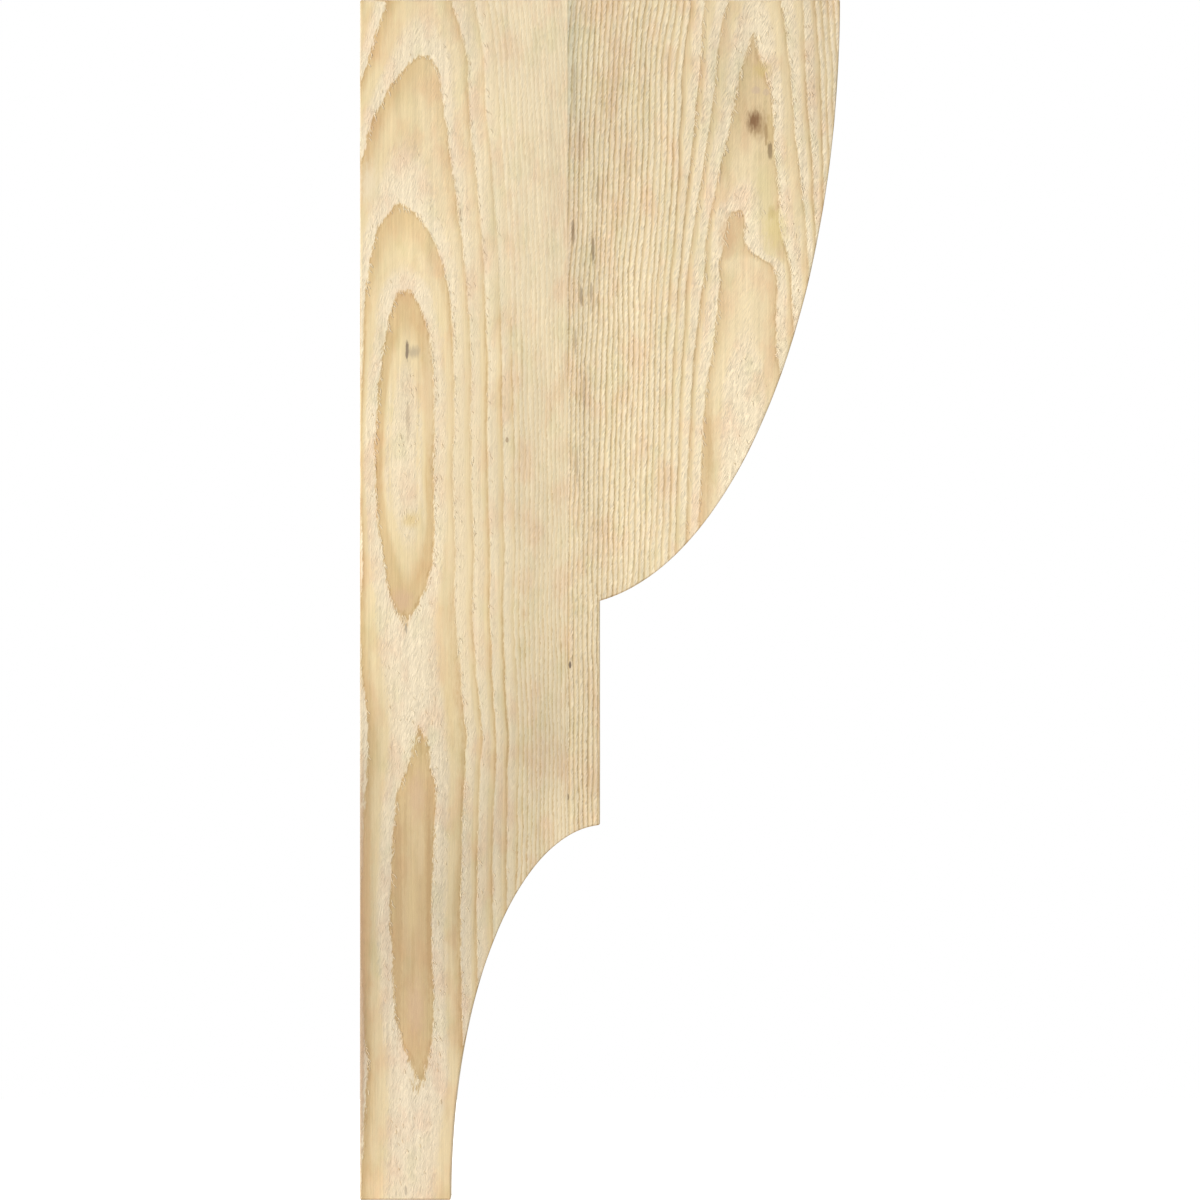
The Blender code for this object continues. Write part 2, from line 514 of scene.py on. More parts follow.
lobe, cove = lobeLine(), coveLine()
coveFront, coveBack = splitAt(cove, bracket["jointOut"])
height, lobeDown, coveDown = bracket["height"], bracket["lobeDown"], bracket["coveDown"]
jointFoot = coveBack[0, 1]
waistOut, jointOut, gap = bracket["waistOut"], bracket["jointOut"], bracket["glueLine"] / 2
waist = np.array([[waistOut, lobeDown], [waistOut, coveDown]])
wall = np.array([[0, height], [0, 0.0]])
beyondNose = 0.4
topFace = np.array([[0, 0], [beyondNose, 0.0]])
footFace = np.array([[beyondNose, height], [0, height]])


def upright(out, shares, start, end):
    # points of an upright line, at shares of the way from its start to its end
    return np.stack([np.full(len(shares), out), start + (end - start) * shares], 1)


def placesAlong(line, count):
    # shares of a line's length, with fine steps at both ends
    return finerAtEnds(np.array([lengths(line)[-1]]), count)[0]


upper, lower = frontBoard["rows"]
lobeShares, waistShares = placesAlong(lobe, upper), placesAlong(waist, lower)
frontInside = np.vstack([
    upright(jointOut + gap, lobeShares, 0, lobeDown),
    upright(jointOut + gap, waistShares, lobeDown, jointFoot)[1:],
])
frontOutside = np.vstack([pointsAlong(lobe, lobeShares), pointsAlong(waist, waistShares)[1:]])
front = makeBoard(
    "front_board_wood", frontBoard, frontInside, frontOutside, coveFront,
    [lobe, waist], [topFace, cove],
)

upper, lower = backBoard["rows"]
joint = np.array([[jointOut - gap, 0.0], [jointOut - gap, jointFoot]])
jointShares, coveShares = placesAlong(joint, upper), placesAlong(coveBack, lower)
coveReach = height * (lengths(coveBack)[-1] / (lengths(coveBack)[-1] + jointFoot))
backOutside = np.vstack([pointsAlong(joint, jointShares), pointsAlong(coveBack, coveShares)[1:]])
backInside = np.vstack([
    upright(0, jointShares, 0, height - coveReach), upright(0, coveShares, height - coveReach, height)[1:]
])
back = makeBoard(
    "back_board_wood", backBoard, backInside, backOutside, None,
    [wall, cove], [topFace, footFace],
)


def insideOutline(out, down, margin):
    # true for spots at least a margin inside the side face, told by the outline's reach at their height
    line = np.vstack([lobe, waist, cove])
    order = np.argsort(line[:, 1], kind="stable")
    reach = np.interp(down, line[order, 1], line[order, 0])
    reach = np.minimum(reach, np.interp(down + margin, line[order, 1], line[order, 0]))
    return (out > margin) & (out < reach - margin) & (down > margin) & (down < height - 2 * margin)


def makeFibres(name, board, outFrom, outTo):
    # each fibre is a closed spindle: a short arc along the face, a diamond in section, swelling and
    # rising off the face as a half sine, with both ends buried in the wood
    random = np.random.default_rng(board["seed"] + 50)
    count = fibre["tries"]
    out, down = random.uniform(outFrom, outTo, count), random.uniform(0, height, count)
    side = random.choice((-1.0, 1.0), count)
    keep = insideOutline(out, down, fibre["margin"]) & (out > outFrom + fibre["margin"]) & (out < outTo)
    out, down, side = out[keep], down[keep], side[keep]
    spots = np.stack([out, side * bracket["thickness"] / 2, bracket["top"] - down], 1)
    part = ringAge(board, spots) % 1
    wool = board["regions"](out / px + wallColumn, down / px)[0]
    close = part < fibre["softPart"]
    out, side, spots, part, wool = out[close], side[close], spots[close], part[close], wool[close]
    rate = ringRate(board, spots, np.array([[0.0, 1.0, 0.0]]))[1]
    beyond = part / np.maximum(rate, 1e-3)
    chance = np.where(beyond < fibre["beyondEdge"], 1.0, fibre["strayChance"])
    chance = chance * wool**2 * (1 - ease(*fibre["tightRate"], rate))
    keep = np.flatnonzero(random.uniform(0, 1, len(out)) < chance)[: board["fibres"]]
    out, up, side, count = out[keep], spots[keep, 2], side[keep], len(keep)

    long, wide, lift, lean, bow = (
        random.uniform(*fibre[label], count) for label in ("length", "width", "lift", "lean", "bow")
    )
    stations = fibre["stations"]
    t = np.linspace(0, 1, stations)
    way = np.stack([np.sin(lean), 0 * lean, -np.cos(lean)], 1)
    across = np.stack([np.cos(lean), 0 * lean, np.sin(lean)], 1)
    normal = np.stack([0 * lean, side, 0 * lean], 1)
    base = np.stack([out, side * bracket["thickness"] / 2, up], 1)
    swell = np.sin(math.pi * t)
    off = lift[:, None] * swell**0.6 - fibre["root"] * (1 - swell) ** 2
    line = base[:, None] + (long[:, None] * t)[..., None] * way[:, None]
    line = line + (long * bow)[:, None, None] * (t * (1 - t))[None, :, None] * across[:, None]
    line = line + off[..., None] * normal[:, None]
    # the section turns the same way about the fibre on both faces, so every face points outwards
    flank = np.cross(normal, way)
    points = [line[:, :1]]
    for step in range(1, stations - 1):
        half = (swell[step] ** 0.7 * wide / 2)[:, None] * flank
        rise = swell[step] ** 0.7 * fibre["thick"] / 2 * normal
        points.append(np.stack([line[:, step] + part for part in (half, rise, -half, -rise)], 1))
    points.append(line[:, -1:])
    points = np.concatenate(points, 1)
    tip = points.shape[1] - 1
    turn = np.arange(4)
    after = (turn + 1) % 4
    first = np.stack([0 * turn, 1 + after, 1 + turn], 1)
    last = np.stack([0 * turn + tip, tip - 4 + turn, tip - 4 + after], 1)
    rings = 1 + 4 * np.arange(stations - 3)[:, None]
    quads = np.stack([rings + turn, rings + after, rings + 4 + after, rings + 4 + turn], -1).reshape(-1, 4)
    start = (tip + 1) * np.arange(count)[:, None, None]
    tips = (np.vstack([first, last])[None] + start).reshape(-1, 3)
    walls = (quads[None] + start).reshape(-1, 4)
    mesh = bpy.data.meshes.new(name)
    mesh.from_pydata(points.reshape(-1, 3).tolist(), [], tips.tolist() + walls.tolist())
    mesh.shade_smooth()
    print(name, "fibres:", count, "of up to", board["fibres"], "-", len(tips) + 2 * len(walls), "triangles")
    return newPiece(name, mesh)


backFibres = makeFibres("back_board_fibres", backBoard, 0, jointOut - 2 * mm)
frontFibres = makeFibres("front_board_fibres", frontBoard, jointOut, bracket["projection"])


# shader tools


def linear(red, green, blue):
    # a colour read from 0 to 255 as the linear values that a shader takes
    value = np.array([red, green, blue]) / 255
    value = np.where(value <= 0.04045, value / 12.92, ((value + 0.055) / 1.055) ** 2.4)
    return (*value.tolist(), 1.0)


def put(tree, kind, inputs=None, **settings):
    # one node: an input is a plain value or another node's output
    node = tree.nodes.new("ShaderNode" + kind)
    for key, value in settings.items():
        setattr(node, key, value)
    for name, value in (inputs or {}).items():
        if isinstance(value, bpy.types.NodeSocket):
            tree.links.new(value, node.inputs[name])
        else:
            node.inputs[name].default_value = value
    return node


def sums(tree, operation, first, second=0.0):
    # one sum over two plain values or outputs
    return put(tree, "Math", {0: first, 1: second}, operation=operation).outputs[0]


def times(tree, first, *others):
    # the product of plain values and outputs, from left to right
    for other in others:
        first = sums(tree, "MULTIPLY", first, other)
    return first


def plus(tree, first, *others):
    # everything added up, from left to right
    for other in others:
        first = sums(tree, "ADD", first, other)
    return first


def less(tree, first, second):
    # the first less the second
    return sums(tree, "SUBTRACT", first, second)


def aboutZero(tree, noise):
    # noise from 0 to 1, moved to run from -0.5 to 0.5
    return less(tree, noise, 0.5)


def alongAxis(tree, place, axis):
    # one coordinate of a place
    return put(tree, "SeparateXYZ", {"Vector": place}).outputs[axis]


def between(tree, value, low, high, bottom=0.0, top=1.0, smooth=True):
    # low to high carried over to bottom to top, and held beyond them, as a smooth S or straight
    inputs = {"Value": value, "From Min": low, "From Max": high, "To Min": bottom, "To Max": top}
    kind = "SMOOTHSTEP" if smooth else "LINEAR"
    return put(tree, "MapRange", inputs, interpolation_type=kind).outputs["Result"]


def mix(tree, share, first, second, blend="MIX"):
    # from the first colour to the second by a share; the node's colours are its sockets 6 and 7
    inputs = {0: share, 6: first, 7: second}
    return put(tree, "Mix", inputs, data_type="RGBA", blend_type=blend).outputs[2]


def laid(tree, colour, tint, share, blend="MIX"):
    # a colour read from 0 to 255, laid over another
    return mix(tree, share, colour, linear(*tint), blend)


def plainNoise(tree, spot, detail=2.0, rough=0.5):
    # noise whose size is already in the spot
    inputs = {"Vector": spot, "Scale": 1.0, "Detail": detail, "Roughness": rough}
    return put(tree, "TexNoise", inputs).outputs["Fac"]


def grainNoise(tree, place, size, detail=2.0, rough=0.5, turn=(0, 0, 0)):
    # noise stretched to a grain: size is one grain's length along X, Y and Z
    scale = tuple(1 / length for length in size)
    spot = put(tree, "Mapping", {"Vector": place, "Rotation": turn}, vector_type="TEXTURE").outputs[0]
    spot = put(tree, "Mapping", {"Vector": spot, "Scale": scale}).outputs[0]
    return plainNoise(tree, spot, detail, rough)


def group(name, inputs, outputs):
    # a new shader group: inputs as kind and default, outputs as kind, and the object's own coordinates
    tree = bpy.data.node_groups.new(name, "ShaderNodeTree")
    for label, (kind, value) in inputs.items():
        socket = tree.interface.new_socket(label, in_out="INPUT", socket_type="NodeSocket" + kind)
        socket.default_value = value
    for label, kind in outputs.items():
        tree.interface.new_socket(label, in_out="OUTPUT", socket_type="NodeSocket" + kind)
    given = tree.nodes.new("NodeGroupInput").outputs
    result = tree.nodes.new("NodeGroupOutput").inputs
    place = put(tree, "TexCoord").outputs["Object"]
    return tree, given, result, place


def useGroup(tree, name, inputs=None):
    # the outputs of a group that is put into a tree
    return put(tree, "Group", inputs, node_tree=bpy.data.node_groups[name]).outputs


def newMaterial(name):
    # a material, its nodes and its shader
    material = bpy.data.materials.new(name)
    material.use_nodes = True
    return material, material.node_tree, material.node_tree.nodes["Principled BSDF"]


def giveOut(tree, result, values):
    # what a group puts out, by label
    for label, value in values.items():
        tree.links.new(value, result[label])


grain = dict(  # metres along X, Y and Z of the noises that break up the wood
    jag=(0.0009, 0.0009, 0.0045),  # the teeth of a ring's edge
    wave=(0.0035, 0.0035, 0.011),
    tufts=(0.004, 0.004, 0.006),
    rosy=(0.014, 0.014, 0.03),
    green=(0.017, 0.012, 0.026),
    tone=(0.006, 0.006, 0.05),
    fine=(0.0009, 0.0009, 0.03),
    streak=(0.0022, 0.0022, 0.09),
    pores=(0.0006, 0.0006, 0.0006),
    markEdge=(0.0014, 0.003, 0.004),
    oneFibre=(0.0004, 0.0004, 0.002),
)
ringShape = dict(  # shares of a ring, unless another unit is given
    tightRate=(0.055, 0.1),  # rings per mm between which rings turn from wide to tight
    tightCalm=0.55,  # how much straighter the edges of tight rings are
    tightYellow=0.25,  # how much later the yellow of tight rings starts
    tightFaint=0.6,  # how much fainter a tight ring may be
    tear=0.5,  # how far torn fibres drag an edge
    swing=2.0,  # mm from one end of the teeth to the other
    ringStep=7.31,  # steps through a noise, from ring to ring and per metre of height
    upStep=9.0,
    strongOver=(0.3, 0.7),
    strongest=1.2,
    fallMost=0.22,  # the dark wood is gone this far into the next ring
    yellowOver=0.22,
    lateFull=0.97,
    edgeMost=0.3,
    paleOver=0.4,
)


def ringGroup():
    # from the ring age: how far into the dark wood, the dark line that ends a ring, the pale wood after it
    shape = ringShape
    tree, given, result, place = group(
        "growth rings",
        {"Age": ("Float", 0.0), "Rate": ("Float", 0.3), "Ragged": ("Float", 0.5), "Tear": ("Float", 0.0),
         "Late From": ("Float", 0.6), "Late From Tight": ("Float", 0.74), "Yellow From": ("Float", 0.3),
         "Edge Width": ("Float", 0.7), "Fall": ("Float", 1.2)},
        {"Yellow": "Float", "Late": "Float", "Edge": "Float", "Pale": "Float"},
    )
    tight = between(tree, given["Rate"], *shape["tightRate"])
    calm = less(tree, 1.0, times(tree, tight, shape["tightCalm"]))
    lateFrom = between(tree, tight, 0.0, 1.0, given["Late From"], given["Late From Tight"], False)
    yellowFrom = plus(tree, given["Yellow From"], times(tree, tight, shape["tightYellow"]))

    # the edges are jagged and wavy, and torn fibres drag them
    jag = aboutZero(tree, grainNoise(tree, place, grain["jag"], 3, 0.65))
    wave = aboutZero(tree, grainNoise(tree, place, grain["wave"]))
    jag = plus(tree, jag, wave, times(tree, given["Tear"], shape["tear"]))
    shift = times(tree, jag, given["Ragged"], given["Rate"], shape["swing"], calm)
    count = plus(tree, given["Age"], shift)
    part = sums(tree, "FRACT", count)

    # each ring has a strength of its own, which changes slowly with height
    ring = times(tree, sums(tree, "FLOOR", count), shape["ringStep"])
    up = times(tree, alongAxis(tree, place, "Z"), shape["upStep"])
    spot = put(tree, "CombineXYZ", {"X": ring, "Y": up}).outputs[0]
    faintest = less(tree, 1.0, times(tree, tight, shape["tightFaint"]))
    strong = between(tree, plainNoise(tree, spot, 1.0), *shape["strongOver"], faintest, shape["strongest"])

    # the dark wood builds up towards the edge, and falls away just past it
    fall = sums(tree, "MINIMUM", times(tree, given["Fall"], given["Rate"]), shape["fallMost"])
    after = between(tree, part, 0.0, fall, 1.0, 0.0)
    yellow = between(tree, part, yellowFrom, plus(tree, yellowFrom, shape["yellowOver"]))
    yellow = sums(tree, "MAXIMUM", yellow, after)
    late = sums(tree, "MAXIMUM", between(tree, part, lateFrom, shape["lateFull"]), after)
    width = sums(tree, "MINIMUM", times(tree, given["Edge Width"], given["Rate"]), shape["edgeMost"])
    edge = between(tree, part, less(tree, 1.0, width), 1.0)
    edge = sums(tree, "MAXIMUM", edge, between(tree, part, 0.0, times(tree, fall, 0.5), 1.0, 0.0))
    pale = between(tree, part, fall, plus(tree, fall, shape["paleOver"]), 1.0, 0.0)
    late, edge = times(tree, late, strong), times(tree, edge, strong)
    giveOut(tree, result, {"Yellow": yellow, "Late": late, "Edge": edge, "Pale": pale})


def fibreGroup():
    # short torn fibres leaning by an angle, as a height and as painted light and shade for the colour
    tree, given, result, place = group(
        "torn fibres",
        {"Turn": ("Vector", (0, 0, 0)), "Size": ("Vector", (900, 900, 170))},
        {"Height": "Float", "Shade": "Float"},
    )
    turned = put(tree, "Mapping", {"Vector": place, "Rotation": given["Turn"]}, vector_type="TEXTURE")
    spot = put(tree, "VectorMath", {0: turned.outputs[0], 1: given["Size"]}, operation="MULTIPLY").outputs[0]
    strand = between(tree, plainNoise(tree, spot, 3.0, 0.62), 0.32, 0.68)
    patchy = between(tree, grainNoise(tree, place, grain["tufts"], 2, 0.6), 0.35, 0.65, 0.35, 1.0)
    # painted light and shade: the strands made lighter and darker about their middle
    shade = times(tree, aboutZero(tree, strand), patchy)
    giveOut(tree, result, {"Height": times(tree, strand, patchy), "Shade": shade})


def patchGroup():
    # slow patches of tint over the board: rosy, greenish, and a lighter or darker tone
    tree, given, result, place = group("slow tints", {}, {"Rosy": "Float", "Green": "Float", "Tone": "Float"})
    rosy = between(tree, grainNoise(tree, place, grain["rosy"], 3, 0.55), 0.45, 0.7)
    green = between(tree, grainNoise(tree, place, grain["green"], 3, 0.55, (0, 0, 0.7)), 0.48, 0.72)
    tone = aboutZero(tree, grainNoise(tree, place, grain["tone"], 3, 0.55))
    giveOut(tree, result, {"Rosy": rosy, "Green": green, "Tone": tone})


def sawGroup():
    # lines left by the saw across the timber, uneven in depth and spacing, and the broad bands it burned
    tree, given, result, place = group(
        "saw lines",
        {"Run": ("Float", 0.0), "Spacing": ("Float", 0.0021)},
        {"Height": "Float", "Burn": "Float"},
    )
    along = sums(tree, "DIVIDE", given["Run"], given["Spacing"])
    across = times(tree, alongAxis(tree, place, "Y"), 9.0)
    spot = put(tree, "CombineXYZ", {"X": along, "Y": across, "Z": 3.0}).outputs[0]
    broad = put(tree, "CombineXYZ", {"X": times(tree, along, 0.06), "Y": 0.4, "Z": 7.0}).outputs[0]
    giveOut(tree, result, {
        "Height": between(tree, plainNoise(tree, spot, 2.0, 0.6), 0.3, 0.7),
        "Burn": between(tree, plainNoise(tree, broad), 0.5, 0.75),
    })


def markGroup():
    # a mark in the wood: a ragged ellipsoid about a centre
    tree, given, result, place = group(
        "mark",
        {"Centre": ("Vector", (0, 0, 0)), "Reach": ("Vector", (0.01, 0.01, 0.01)),
         "Soft": ("Float", 0.4), "Jag": ("Float", 0.0)},
        {"Mask": "Float"},
    )
    spot = put(tree, "VectorMath", {0: place, 1: given["Centre"]}, operation="SUBTRACT").outputs[0]
    spot = put(tree, "VectorMath", {0: spot, 1: given["Reach"]}, operation="DIVIDE").outputs[0]
    size = put(tree, "VectorMath", {0: spot}, operation="LENGTH").outputs["Value"]
    size = plus(tree, size, given["Jag"])
    giveOut(tree, result, {"Mask": between(tree, size, 1.0, less(tree, 1.0, given["Soft"]))})


for build in (ringGroup, fibreGroup, patchGroup, sawGroup, markGroup):
    build()
print("shader groups:", len(bpy.data.node_groups))


# the wood


# shade: how strongly the torn fibres' painted light and shade brightens and darkens the colour
backLook = dict(
    pale=(247, 230, 198), early=(243, 224, 189), late=(226, 197, 147), line=(200, 166, 116),
    low=(243, 243, 246),  # laid over the foot
    smooth=(252, 251, 243),  # laid where there is no wool
    yellow=(240, 218, 173), yellowFrom=0.3, slant=0.3, fibre=(1400, 1400, 240),
    ragged=1.6, lateFrom=0.58, lateFromTight=0.72, edgeWidth=1.6, shade=0.3, lineStrength=0.65,
    streak=0.34, broken=(0.002, 0.002, 0.01),
)
frontLook = dict(
    pale=(247, 230, 197), early=(243, 224, 190), late=(227, 201, 156), line=(192, 163, 118),
    low=(248, 246, 243), smooth=(253, 252, 242),
    yellow=(240, 219, 176), yellowFrom=0.3, slant=0.42, fibre=(1400, 1400, 220),
    ragged=1.5, lateFrom=0.56, lateFromTight=0.66, edgeWidth=1.3, shade=0.46, lineStrength=0.62,
    streak=0.34, broken=(0.0017, 0.0017, 0.007),
)
# marks: middle across and down in the photograph's pixels, half sizes across and down, colour, strength
backLook["marks"] = (
    (407, 350, 2.0, 12, (120, 104, 92), 0.8), (414, 352, 9, 10, (176, 160, 136), 0.6),
    (429, 400, 9, 100, (238, 214, 174), 0.6), (450, 705, 9, 80, (224, 200, 146), 0.45),
    (408, 422, 2.5, 24, (178, 158, 128), 0.4), (406, 628, 1.6, 7, (150, 138, 120), 0.6),
    (406, 1191, 1.6, 6, (150, 138, 120), 0.5), (507, 440, 1.8, 3, (150, 120, 90), 0.6),
    (402, 600, 16, 18, (216, 178, 148), 0.5), (411, 520, 12, 12, (226, 196, 132), 0.6),
    (415, 912, 26, 190, (196, 166, 128), 0.35), (361, 960, 5, 230, (188, 154, 122), 0.65),
    (369, 184, 15, 32, (243, 225, 191), 0.75), (367, 900, 7, 150, (206, 170, 126), 0.6),
    (398, 920, 5, 150, (182, 150, 108), 0.4), (428, 860, 4, 110, (188, 156, 112), 0.3),
    (417, 795, 12, 36, (214, 178, 148), 0.4), (416, 1010, 13, 44, (208, 172, 142), 0.45),
    (412, 905, 8, 60, (214, 190, 140), 0.4), (421, 850, 4, 34, (226, 204, 166), 0.2),
    (462, 500, 34, 330, (240, 219, 179), 0.5), (429, 905, 3, 110, (184, 150, 106), 0.5),
    (405, 850, 2.4, 60, (190, 160, 116), 0.35), (413, 960, 2.4, 46, (190, 160, 116), 0.35),
)
frontLook["marks"] = (
    (758, 124, 15, 22, (186, 156, 114), 0.9), (754, 121, 9.5, 15, (138, 102, 70), 0.9),
    (770, 130, 6, 30, (206, 178, 122), 0.5), (770, 151, 2.8, 11, (136, 112, 82), 0.75),
    (766, 134, 2.2, 13, (170, 138, 94), 0.6),
    (756, 90, 5, 5, (204, 178, 158), 0.45), (766, 92, 4, 4, (204, 178, 158), 0.4),
    (772, 213, 6, 10, (190, 162, 104), 0.8), (762, 70, 13, 12, (214, 190, 128), 0.7),
    (766, 195, 18, 56, (226, 208, 156), 0.5), (776, 228, 16, 28, (230, 210, 146), 0.6),
    (593, 250, 1.9, 18, (128, 108, 84), 0.65), (573, 232, 2.1, 16, (134, 114, 90), 0.6),
    (581, 295, 2.0, 12, (134, 114, 90), 0.5), (591, 292, 1.8, 14, (150, 128, 100), 0.5),
    (575, 340, 1.8, 18, (160, 138, 108), 0.45), (584, 390, 1.8, 26, (160, 138, 108), 0.4),
    (577, 465, 1.8, 22, (160, 138, 108), 0.4), (598, 190, 1.7, 18, (160, 138, 108), 0.45),
    (580, 140, 1.8, 24, (160, 138, 108), 0.4), (574, 90, 1.8, 40, (166, 146, 116), 0.4),
    (570, 665, 1.7, 4.5, (84, 70, 60), 0.8), (567.9, 797, 1.6, 4, (110, 90, 74), 0.6),
    (709, 452, 8, 66, (214, 182, 132), 0.7), (728, 236, 13, 30, (220, 184, 140), 0.75),
)


finish = dict(  # colours laid over the rings, and how strongly
    rosy=(250, 233, 228), rosyShare=0.55, green=(236, 242, 228), greenShare=0.4, footFrom=(0.05, -0.38),
    toneShare=0.16, fineShare=0.16,
    endGrain=(232, 214, 190), endGrainShare=0.75, pores=(150, 118, 78), poreShare=0.35,
    burn=(214, 190, 160), burnShare=0.25, weathered=(222, 231, 235),
    fibreDark=(238, 217, 178), fibrePale=(249, 235, 205), fibreLow=(238, 234, 228),
    shine=0.25,
)
bumps = dict(fibre=0.00016, groove=(0.00002, 0.00013), fine=0.00010, saw=0.00022)  # metres


def readValue(tree, label):
    # a value stored at the points of the mesh
    return put(tree, "Attribute", attribute_name=label).outputs["Fac"]


def woodMaterial(name, look):
    # the rings' colours, what is laid over them, and a bump of fibres, ring edges and saw lines
    material, tree, shader = newMaterial(name)
    age, rate = readValue(tree, "ringAge"), readValue(tree, "ringRate")
    wool, rib, contrast = readValue(tree, "wool"), readValue(tree, "rib"), readValue(tree, "contrast")
    endGrain, sawn, stain = readValue(tree, "endGrain"), readValue(tree, "sawn"), readValue(tree, "stain")
    fibres = useGroup(tree, "torn fibres", {"Turn": (0, look["slant"], 0), "Size": look["fibre"]})
    rings = useGroup(tree, "growth rings", {
        "Age": age, "Rate": rate, "Ragged": look["ragged"], "Tear": fibres["Shade"],
        "Edge Width": look["edgeWidth"], "Late From": look["lateFrom"],
        "Late From Tight": look["lateFromTight"], "Yellow From": look["yellowFrom"],
    })
    tints = useGroup(tree, "slow tints")
    saw = useGroup(tree, "saw lines", {"Run": readValue(tree, "sawRun")})

    place = put(tree, "TexCoord").outputs["Object"]
    late = times(tree, rings["Late"], contrast)
    colour = mix(tree, rings["Pale"], linear(*look["early"]), linear(*look["pale"]))
    colour = laid(tree, colour, look["smooth"], less(tree, 1.0, wool), "MULTIPLY")
    yellow = times(tree, rings["Yellow"], contrast)
    colour = laid(tree, colour, look["yellow"], yellow)
    colour = laid(tree, colour, look["late"], late)
    broken = between(tree, grainNoise(tree, place, look["broken"], 2, 0.6), 0.36, 0.6, 0.15, 1.0)
    edge = times(tree, rings["Edge"], broken)
    line = times(tree, edge, contrast, look["lineStrength"])
    colour = laid(tree, colour, look["line"], line)

    # slow tints, then a tanner tone towards the foot
    rosy = times(tree, tints["Rosy"], finish["rosyShare"])
    green = times(tree, tints["Green"], finish["greenShare"])
    colour = laid(tree, colour, finish["rosy"], rosy, "MULTIPLY")
    colour = laid(tree, colour, finish["green"], green, "MULTIPLY")
    foot = between(tree, alongAxis(tree, place, "Z"), *finish["footFrom"])
    colour = laid(tree, colour, look["low"], foot, "MULTIPLY")

    # torn fibres lie on the soft pale wood, less on the smooth dark wood
    soft = less(tree, 1.0, times(tree, yellow, 0.8))
    flat = less(tree, 1.0, sawn)
    fuzz = times(tree, soft, wool, between(tree, flat, 0.0, 1.0, 0.3, 1.0))
    fine = grainNoise(tree, place, grain["fine"], 2, 0.6)
    streak = grainNoise(tree, place, grain["streak"], 3, 0.7)
    # the fibres' painted light and shade, together with the wood's own tone, fine and streak noise, brightens
    # and darkens the colour
    shade = plus(
        tree,
        times(tree, fibres["Shade"], fuzz, look["shade"]),
        times(tree, tints["Tone"], finish["toneShare"]),
        times(tree, aboutZero(tree, fine), finish["fineShare"]),
        times(tree, aboutZero(tree, streak), look["streak"]),
    )
    bright = times(tree, plus(tree, 1.0, shade), readValue(tree, "tone"))
    colour = put(tree, "VectorMath", {0: colour, "Scale": bright}, operation="SCALE").outputs[0]

    # end grain is darker and speckled with pores, the saw burns the cut faces, and the joint is weathered
    pores = between(tree, grainNoise(tree, place, grain["pores"], 2, 0.6), 0.42, 0.62)
    darker = times(tree, endGrain, finish["endGrainShare"])
    colour = laid(tree, colour, finish["endGrain"], darker, "MULTIPLY")
    speckle = times(tree, pores, times(tree, endGrain, finish["poreShare"]))
    colour = laid(tree, colour, finish["pores"], speckle)
    burn = times(tree, saw["Burn"], sawn, finish["burnShare"])
    colour = laid(tree, colour, finish["burn"], burn, "MULTIPLY")
    weathered = times(tree, stain, between(tree, endGrain, 0.0, 1.0, 0.8, 0.4))
    colour = laid(tree, colour, finish["weathered"], weathered, "MULTIPLY")

    # marks: small ones have firm edges, wide ones soft edges
    jag = aboutZero(tree, grainNoise(tree, place, grain["markEdge"], 3, 0.6))
    for across, down, halfAcross, halfDown, tint, strength in look["marks"]:
        spot = ((across - wallColumn) * px, -bracket["thickness"] / 2, bracket["top"] - down * px)
        reach = (halfAcross * px, max(halfAcross, 4) * px, halfDown * px)
        soft = 0.4 if halfAcross < 5.5 else 0.85
        mask = useGroup(tree, "mark", {"Centre": spot, "Reach": reach, "Jag": jag, "Soft": soft})["Mask"]
        colour = laid(tree, colour, tint, times(tree, mask, strength))
    tree.links.new(colour, shader.inputs["Base Color"])

    # bump: fibres stand up, ring edges are grooves on the flat faces, the saw's lines cross the cut ones
    groove = times(tree, edge, between(tree, rib, 0.0, 1.0, *bumps["groove"]))
    height = less(tree, times(tree, fibres["Height"], fuzz, bumps["fibre"]), times(tree, groove, flat))
    height = plus(
        tree, height, times(tree, fine, bumps["fine"]), times(tree, saw["Height"], sawn, bumps["saw"])
    )
    bump = put(tree, "Bump", {"Strength": 1.0, "Distance": 1.0, "Height": height}).outputs["Normal"]
    tree.links.new(bump, shader.inputs["Normal"])
    tree.links.new(between(tree, late, 0.0, 1.0, 0.93, 0.8), shader.inputs["Roughness"])
    shader.inputs["Specular IOR Level"].default_value = finish["shine"]
    print("material:", name, len(tree.nodes), "nodes")
    return material


def fibreMaterial():
    # pale torn wood, a little darker and rosier in places
    material, tree, shader = newMaterial("torn fibre")
    place = put(tree, "TexCoord").outputs["Object"]
    tints = useGroup(tree, "slow tints")
    lengthwise = grainNoise(tree, place, grain["oneFibre"], 2, 0.6)
    pale = between(tree, lengthwise, 0.35, 0.65)
    colour = mix(tree, pale, linear(*finish["fibreDark"]), linear(*finish["fibrePale"]))
    colour = laid(tree, colour, finish["rosy"], times(tree, tints["Rosy"], 0.6), "MULTIPLY")
    low = times(tree, between(tree, alongAxis(tree, place, "Z"), -0.08, -0.25), 0.7)
    colour = laid(tree, colour, finish["fibreLow"], low, "MULTIPLY")
    tree.links.new(colour, shader.inputs["Base Color"])
    tree.links.new(between(tree, lengthwise, 0.3, 0.7, 0.85, 0.95), shader.inputs["Roughness"])
    shader.inputs["Specular IOR Level"].default_value = finish["shine"]
    return material


for piece, node, look in ((back, "back_board", backLook), (front, "front_board", frontLook)):
    piece.data.materials.append(woodMaterial(node.replace("_", " ") + " softwood", look))
tornFibre = fibreMaterial()
for piece, slot in ((backFibres, "back_board_wood"), (frontFibres, "front_board_wood")):
    piece.data.materials.append(tornFibre)
    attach(piece, "root")
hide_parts("back_board")
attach(back, "root")
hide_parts("front_board")
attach(front, "root")


# the studio


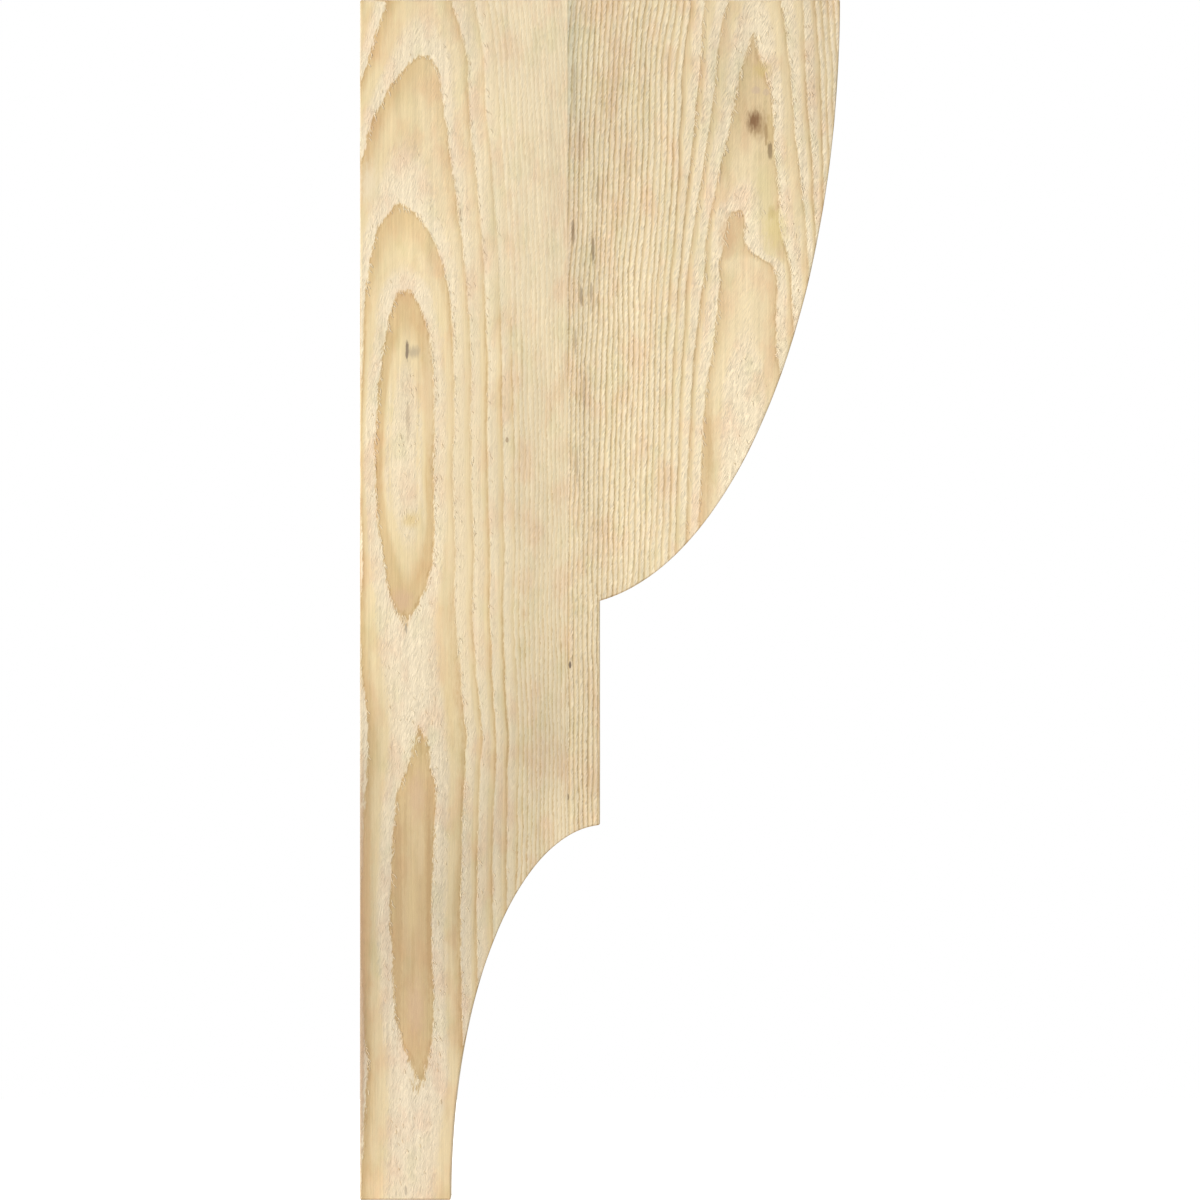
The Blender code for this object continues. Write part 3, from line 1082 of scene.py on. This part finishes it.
studio = dict(
    floorHalf=2.5, floorLines=9, floorDrop=0.1 * mm, floorGrey=(0.86, 0.86, 0.86, 1), floorGlow=0.72,
    lens=600.0, sensor=36.0, aimOut=240 * px, skyLight=0.36,
    sunLight=2.68, sunTurn=(53, 0, -51), sunSoft=10,
    fillLight=1.1, fillTurn=(60, 0, 150), fillSoft=40,
)


def paleFloor():
    # a flat grid just under the foot, glowing only where the camera looks at it
    half, low = studio["floorHalf"], -bracket["height"] / 2 - studio["floorDrop"]
    side = np.linspace(-half, half, studio["floorLines"])
    x, y = np.meshgrid(side, side)
    points = np.stack([x.ravel(), y.ravel(), np.full(x.size, low)], 1)
    grid = np.arange(x.size).reshape(x.shape)
    faces = np.stack([grid[:-1, :-1], grid[:-1, 1:], grid[1:, 1:], grid[1:, :-1]], -1).reshape(-1, 4)
    mesh = bpy.data.meshes.new("floor")
    mesh.from_pydata(points.tolist(), [], faces.tolist())
    material, tree, shader = newMaterial("pale floor")
    shader.inputs["Base Color"].default_value = studio["floorGrey"]
    shader.inputs["Roughness"].default_value = 0.9
    glow = put(tree, "Emission", {"Color": (1, 1, 1, 1)})
    seen = put(tree, "LightPath").outputs["Is Camera Ray"]
    tree.links.new(times(tree, seen, studio["floorGlow"]), glow.inputs["Strength"])
    both = put(tree, "AddShader", {0: shader.outputs[0], 1: glow.outputs[0]})
    tree.links.new(both.outputs[0], tree.nodes["Material Output"].inputs["Surface"])
    mesh.materials.append(material)
    return newPiece("floor", mesh)


def studioSky():
    # white all round: plain white to the camera, dimmer as light
    world = bpy.data.worlds.new("studio")
    world.use_nodes = True
    tree = world.node_tree
    sky = tree.nodes["Background"]
    sky.inputs["Color"].default_value = (1, 1, 1, 1)
    seen = put(tree, "LightPath").outputs["Is Camera Ray"]
    tree.links.new(between(tree, seen, 0.0, 1.0, studio["skyLight"], 1.0, False), sky.inputs["Strength"])
    bpy.context.scene.world = world


def sunLamp(name, energy, turn, soft):
    # parallel light from a turned lamp, softened over an angle, in degrees
    lamp = bpy.data.lights.new(name, "SUN")
    lamp.energy = energy
    lamp.angle = math.radians(soft)
    newPiece(name, lamp).rotation_euler = [math.radians(a) for a in turn]


paleFloor()
studioSky()
sunLamp("key", studio["sunLight"], studio["sunTurn"], studio["sunSoft"])
sunLamp("fill", studio["fillLight"], studio["fillTurn"], studio["fillSoft"])

camera = newPiece("camera", bpy.data.cameras.new("camera"))
camera.data.lens = studio["lens"]
camera.data.sensor_width = studio["sensor"]
distance = bracket["height"] / 2 / (studio["sensor"] / 2 / studio["lens"])
camera.location = (studio["aimOut"], -bracket["thickness"] / 2 - distance, 0)
camera.rotation_euler = (math.pi / 2, 0, 0)
bpy.context.scene.camera = camera
bpy.context.scene.view_settings.view_transform = "Standard"
print("studio: camera", round(distance, 2), "m from the near face")
